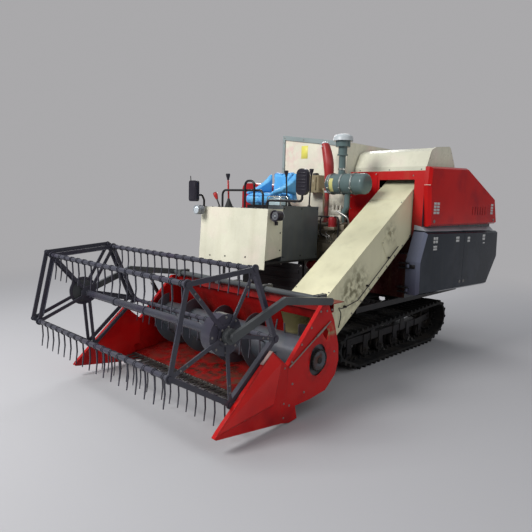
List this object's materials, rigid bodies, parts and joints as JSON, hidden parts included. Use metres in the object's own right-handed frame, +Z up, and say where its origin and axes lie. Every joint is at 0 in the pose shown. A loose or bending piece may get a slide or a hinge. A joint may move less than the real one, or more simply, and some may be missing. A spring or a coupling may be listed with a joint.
{
  "type": "combine harvester",
  "caption": "Compact crawler combine harvester with a tined reel header, side feeder house, thresher, grain tank and open operator's station.",
  "frame": {"origin": "on the ground, at the centre of the machine's length and width", "axes": "+Z up, -Y forwards, +X to the machine's left"},
  "size_m": [2.077, 5.1294, 2.45],
  "materials": {
    "bare_steel": "satin",
    "black_paint": "satin",
    "cast_iron": "matte",
    "cream_paint": "gloss",
    "engine_casting": "matte",
    "grey_paint": "satin",
    "khaki_paint": "satin",
    "lamp_plastic": "satin",
    "mirror_plastic": "satin",
    "red_paint": "gloss",
    "seat_vinyl": "satin",
    "slate_paint": "satin",
    "tank_plastic": "matte",
    "track_rubber": "matte"
  },
  "bodies": {
    "chassis": {"chassis_frame": "black_paint", "track_frames": "black_paint", "left_track_belt": "track_rubber", "right_track_belt": "track_rubber", "drive_sprockets": "cast_iron", "idlers": "cast_iron", "ground_rollers": "cast_iron", "carrier_rollers": "cast_iron", "transmission": "cast_iron", "thresher_body": "slate_paint", "upper_side_cover": "red_paint", "top_cover": "cream_paint", "door_hinges": "black_paint", "grain_tank": "cream_paint", "engine": "engine_casting", "air_cleaner": "grey_paint", "intake_stack": "grey_paint", "exhaust": "red_paint", "radiator_housing": "red_paint", "operator_floor": "black_paint", "front_panel": "cream_paint", "side_console": "slate_paint", "seat_base": "black_paint", "seat_cushion": "seat_vinyl", "seat_back": "seat_vinyl", "control_levers": "black_paint", "handrails": "black_paint", "mirrors": "mirror_plastic", "work_lamps": "lamp_plastic", "fuel_tank": "tank_plastic", "tank_frame": "grey_paint", "oil_reservoir": "khaki_paint", "front_guard": "black_paint", "hydraulic_tank": "black_paint", "side_drives": "cast_iron", "front_wall_panel": "red_paint"},
    "header": {"header_trough": "red_paint", "header_left_plate": "red_paint", "header_right_plate": "red_paint", "crop_dividers": "red_paint", "cutter_bar": "bare_steel", "feeder_house": "cream_paint", "reel_bearings": "grey_paint", "reel_lift_pin": "bare_steel", "divider_stays": "bare_steel"},
    "header_auger": {"header_auger": "grey_paint"},
    "reel_arms": {"reel_arms": "grey_paint"},
    "reel": {"reel_frame": "grey_paint"},
    "eccentric_spider": {"eccentric_spider": "grey_paint"},
    "lift_barrel": {"lift_barrel": "black_paint"},
    "lift_rod": {"lift_rod": "bare_steel"},
    "reel_lift_barrel": {"reel_lift_barrel": "black_paint"},
    "reel_lift_rod": {"reel_lift_rod": "bare_steel"},
    "front_side_door": {"front_side_door": "slate_paint"},
    "rear_side_door": {"rear_side_door": "slate_paint"},
    "reel_bat_1": {"reel_bat_1": "grey_paint"},
    "reel_bat_2": {"reel_bat_2": "grey_paint"},
    "reel_bat_3": {"reel_bat_3": "grey_paint"},
    "reel_bat_4": {"reel_bat_4": "grey_paint"},
    "reel_bat_5": {"reel_bat_5": "grey_paint"}
  },
  "joints": [
    {"name": "header_lift", "type": "hinge", "parent": "chassis", "child": "header", "pos_m": [0.615, 0.74, 1.7], "axis": [-1, 0, 0], "range_deg": [0, 12]},
    {"name": "auger_spin", "type": "hinge", "parent": "header", "child": "header_auger", "pos_m": [0, -1.142, 0.422], "axis": [1, 0, 0], "continuous": true},
    {"name": "reel_lift", "type": "hinge", "parent": "header", "child": "reel_arms", "pos_m": [0, -1.042, 0.879], "axis": [-1, 0, 0], "range_deg": [0, 22]},
    {"name": "reel_spin", "type": "hinge", "parent": "reel_arms", "child": "reel", "pos_m": [0, -2.06, 0.769], "axis": [1, 0, 0], "continuous": true},
    {"name": "eccentric_spin", "type": "hinge", "parent": "reel_arms", "child": "eccentric_spider", "pos_m": [-0.953, -2.10096, 0.79768], "axis": [1, 0, 0], "continuous": true},
    {"name": "lift_barrel_pivot", "type": "hinge", "parent": "chassis", "child": "lift_barrel", "pos_m": [0.52, 0.35, 0.56], "axis": [-1, 0, 0], "range_deg": [0, 10]},
    {"name": "lift_rod_slide", "type": "slide", "parent": "lift_barrel", "child": "lift_rod", "axis": [0, -0.9379, 0.3468], "range_m": [0, 0.252]},
    {"name": "reel_lift_barrel_pivot", "type": "hinge", "parent": "header", "child": "reel_lift_barrel", "pos_m": [-1.023, -1.225, 0.63], "axis": [-1, 0, 0], "range_deg": [0, 11.8]},
    {"name": "reel_lift_rod_slide", "type": "slide", "parent": "reel_lift_barrel", "child": "reel_lift_rod", "axis": [0, -0.5095, 0.8605], "range_m": [0, 0.106]},
    {"name": "front_door_hinge", "type": "hinge", "parent": "chassis", "child": "front_side_door", "pos_m": [0.89, 0.415, 0.9], "axis": [0, 0, -1], "range_deg": [0, 95]},
    {"name": "rear_door_hinge", "type": "hinge", "parent": "chassis", "child": "rear_side_door", "pos_m": [0.89, 2.548, 1.15], "axis": [0, 0, 1], "range_deg": [0, 95]},
    {"name": "bat_1_pivot", "type": "hinge", "parent": "reel", "child": "reel_bat_1", "pos_m": [0, -2.37819, 1.13503], "axis": [1, 0, 0], "continuous": true},
    {"name": "bat_2_pivot", "type": "hinge", "parent": "reel", "child": "reel_bat_2", "pos_m": [0, -1.81021, 1.18473], "axis": [1, 0, 0], "continuous": true},
    {"name": "bat_3_pivot", "type": "hinge", "parent": "reel", "child": "reel_bat_3", "pos_m": [0, -1.58743, 0.6599], "axis": [1, 0, 0], "continuous": true},
    {"name": "bat_4_pivot", "type": "hinge", "parent": "reel", "child": "reel_bat_4", "pos_m": [0, -2.01773, 0.28585], "axis": [1, 0, 0], "continuous": true},
    {"name": "bat_5_pivot", "type": "hinge", "parent": "reel", "child": "reel_bat_5", "pos_m": [0, -2.50644, 0.57949], "axis": [1, 0, 0], "continuous": true}
  ],
  "couplings": [
    {"joint": "lift_barrel_pivot", "follows": "header_lift", "ratio": 0.8261},
    {"joint": "lift_rod_slide", "follows": "header_lift", "m_per_rad": 1.1957},
    {"joint": "reel_lift_barrel_pivot", "follows": "reel_lift", "ratio": 0.53091},
    {"joint": "reel_lift_rod_slide", "follows": "reel_lift", "m_per_rad": 0.27268},
    {"joint": "eccentric_spin", "follows": "reel_spin", "ratio": 1},
    {"joint": "bat_1_pivot", "follows": "reel_spin", "ratio": -1},
    {"joint": "bat_2_pivot", "follows": "reel_spin", "ratio": -1},
    {"joint": "bat_3_pivot", "follows": "reel_spin", "ratio": -1},
    {"joint": "bat_4_pivot", "follows": "reel_spin", "ratio": -1},
    {"joint": "bat_5_pivot", "follows": "reel_spin", "ratio": -1}
  ]
}
